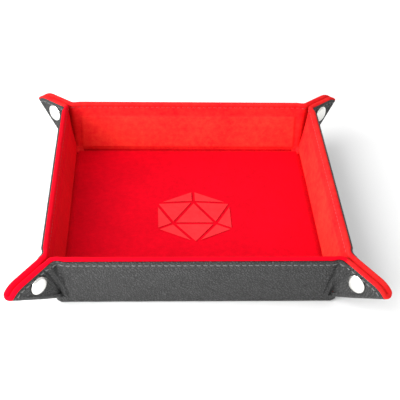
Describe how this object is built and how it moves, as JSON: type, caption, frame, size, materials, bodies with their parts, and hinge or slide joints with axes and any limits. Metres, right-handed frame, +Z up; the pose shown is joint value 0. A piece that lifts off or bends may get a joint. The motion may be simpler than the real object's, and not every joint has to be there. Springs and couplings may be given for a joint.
{
  "type": "folding dice tray",
  "caption": "Square folding dice tray with a pebbled leather outside and a velvet lining; its walls stand up when the corner snaps are closed and lie flat when they are opened.",
  "frame": {"origin": "middle of the underside of the floor, on the table the tray stands on", "axes": "+Z up out of the tray; +Y to the back wall; +X to the right-hand wall"},
  "size_m": [0.236, 0.2346, 0.0412],
  "materials": {
    "leather_black": "pebbled, satin",
    "velvet_red": "short velvet pile",
    "stiffener_board": "plain grey board",
    "snap_nickel": "polished nickel plate",
    "spring_wire": "drawn phosphor bronze wire, plated",
    "thread_black": "waxed polyester thread",
    "thread_red": "polyester bobbin thread, on the velvet side"
  },
  "bodies": {
    "base": {"base_board": "stiffener_board", "leather_base": "leather_black", "lining_base": "velvet_red"},
    "wall_front": {"leather_wall_front": "leather_black", "lining_wall_front": "velvet_red", "stitching_front": "thread_black", "wall_board_front": "stiffener_board"},
    "wall_right": {"leather_wall_right": "leather_black", "lining_wall_right": "velvet_red", "stitching_right": "thread_black", "wall_board_right": "stiffener_board"},
    "wall_back": {"leather_wall_back": "leather_black", "lining_wall_back": "velvet_red", "stitching_back": "thread_black", "wall_board_back": "stiffener_board"},
    "wall_left": {"leather_wall_left": "leather_black", "lining_wall_left": "velvet_red", "stitching_left": "thread_black", "wall_board_left": "stiffener_board"},
    "ear_front_right": {"leather_ear_front_right": "leather_black", "lining_ear_front_right": "velvet_red", "snap_cap_front_right": "snap_nickel", "snap_socket_front_right": "snap_nickel", "snap_spring_front_right": "spring_wire"},
    "ear_front_left": {"leather_ear_front_left": "leather_black", "lining_ear_front_left": "velvet_red", "snap_cap_front_left": "snap_nickel", "snap_socket_front_left": "snap_nickel", "snap_spring_front_left": "spring_wire"},
    "ear_right_back": {"leather_ear_right_back": "leather_black", "lining_ear_right_back": "velvet_red", "snap_cap_right_back": "snap_nickel", "snap_stud_right_back": "snap_nickel"},
    "ear_right_front": {"leather_ear_right_front": "leather_black", "lining_ear_right_front": "velvet_red", "snap_cap_right_front": "snap_nickel", "snap_stud_right_front": "snap_nickel"},
    "ear_back_left": {"leather_ear_back_left": "leather_black", "lining_ear_back_left": "velvet_red", "snap_cap_back_left": "snap_nickel", "snap_socket_back_left": "snap_nickel", "snap_spring_back_left": "spring_wire"},
    "ear_back_right": {"leather_ear_back_right": "leather_black", "lining_ear_back_right": "velvet_red", "snap_cap_back_right": "snap_nickel", "snap_socket_back_right": "snap_nickel", "snap_spring_back_right": "spring_wire"},
    "ear_left_front": {"leather_ear_left_front": "leather_black", "lining_ear_left_front": "velvet_red", "snap_cap_left_front": "snap_nickel", "snap_stud_left_front": "snap_nickel"},
    "ear_left_back": {"leather_ear_left_back": "leather_black", "lining_ear_left_back": "velvet_red", "snap_cap_left_back": "snap_nickel", "snap_stud_left_back": "snap_nickel"}
  },
  "joints": [
    {"name": "wall_front_fold", "type": "hinge", "parent": "base", "child": "wall_front", "pos_m": [0, -0.0875, 0.002], "axis": [1, 0, 0], "range_deg": [0, 79]},
    {"name": "wall_right_fold", "type": "hinge", "parent": "base", "child": "wall_right", "pos_m": [0.0875, 0, 0.002], "axis": [0, 1, 0], "range_deg": [0, 79]},
    {"name": "wall_back_fold", "type": "hinge", "parent": "base", "child": "wall_back", "pos_m": [0, 0.0875, 0.002], "axis": [-1, 0, 0], "range_deg": [0, 79]},
    {"name": "wall_left_fold", "type": "hinge", "parent": "base", "child": "wall_left", "pos_m": [-0.0875, 0, 0.002], "axis": [0, -1, 0], "range_deg": [0, 79]},
    {"name": "ear_front_right_fold", "type": "hinge", "parent": "wall_front", "child": "ear_front_right", "pos_m": [0.08693, -0.09132, 0.02163], "axis": [0.0902, -0.4013, 0.9115], "range_deg": [0, 47.28]},
    {"name": "ear_front_left_fold", "type": "hinge", "parent": "wall_front", "child": "ear_front_left", "pos_m": [-0.08693, -0.09132, 0.02163], "axis": [0.0902, 0.4013, -0.9115], "range_deg": [0, 47.28]},
    {"name": "ear_right_back_fold", "type": "hinge", "parent": "wall_right", "child": "ear_right_back", "pos_m": [0.09132, 0.08693, 0.02163], "axis": [0.1874, 0.1874, 0.9642], "range_deg": [0, 46.05]},
    {"name": "ear_right_front_fold", "type": "hinge", "parent": "wall_right", "child": "ear_right_front", "pos_m": [0.09132, -0.08693, 0.02163], "axis": [-0.4013, 0.0902, -0.9115], "range_deg": [0, 47.28]},
    {"name": "ear_back_left_fold", "type": "hinge", "parent": "wall_back", "child": "ear_back_left", "pos_m": [-0.08693, 0.09132, 0.02163], "axis": [-0.1874, 0.1874, 0.9642], "range_deg": [0, 46.05]},
    {"name": "ear_back_right_fold", "type": "hinge", "parent": "wall_back", "child": "ear_back_right", "pos_m": [0.08693, 0.09132, 0.02163], "axis": [-0.1874, -0.1874, -0.9642], "range_deg": [0, 46.05]},
    {"name": "ear_left_front_fold", "type": "hinge", "parent": "wall_left", "child": "ear_left_front", "pos_m": [-0.09132, -0.08693, 0.02163], "axis": [-0.4013, -0.0902, 0.9115], "range_deg": [0, 47.28]},
    {"name": "ear_left_back_fold", "type": "hinge", "parent": "wall_left", "child": "ear_left_back", "pos_m": [-0.09132, 0.08693, 0.02163], "axis": [0.1874, -0.1874, -0.9642], "range_deg": [0, 46.05]}
  ],
  "couplings": [
    {"joint": "wall_right_fold", "follows": "wall_front_fold", "ratio": 1},
    {"joint": "wall_back_fold", "follows": "wall_front_fold", "ratio": 1},
    {"joint": "wall_left_fold", "follows": "wall_front_fold", "ratio": 1},
    {"joint": "ear_front_right_fold", "follows": "wall_front_fold", "ratio": 0.59835},
    {"joint": "ear_front_left_fold", "follows": "wall_front_fold", "ratio": 0.59835},
    {"joint": "ear_right_back_fold", "follows": "wall_front_fold", "ratio": 0.58283},
    {"joint": "ear_right_front_fold", "follows": "wall_front_fold", "ratio": 0.59835},
    {"joint": "ear_back_left_fold", "follows": "wall_front_fold", "ratio": 0.58283},
    {"joint": "ear_back_right_fold", "follows": "wall_front_fold", "ratio": 0.58283},
    {"joint": "ear_left_front_fold", "follows": "wall_front_fold", "ratio": 0.59835},
    {"joint": "ear_left_back_fold", "follows": "wall_front_fold", "ratio": 0.58283}
  ]
}
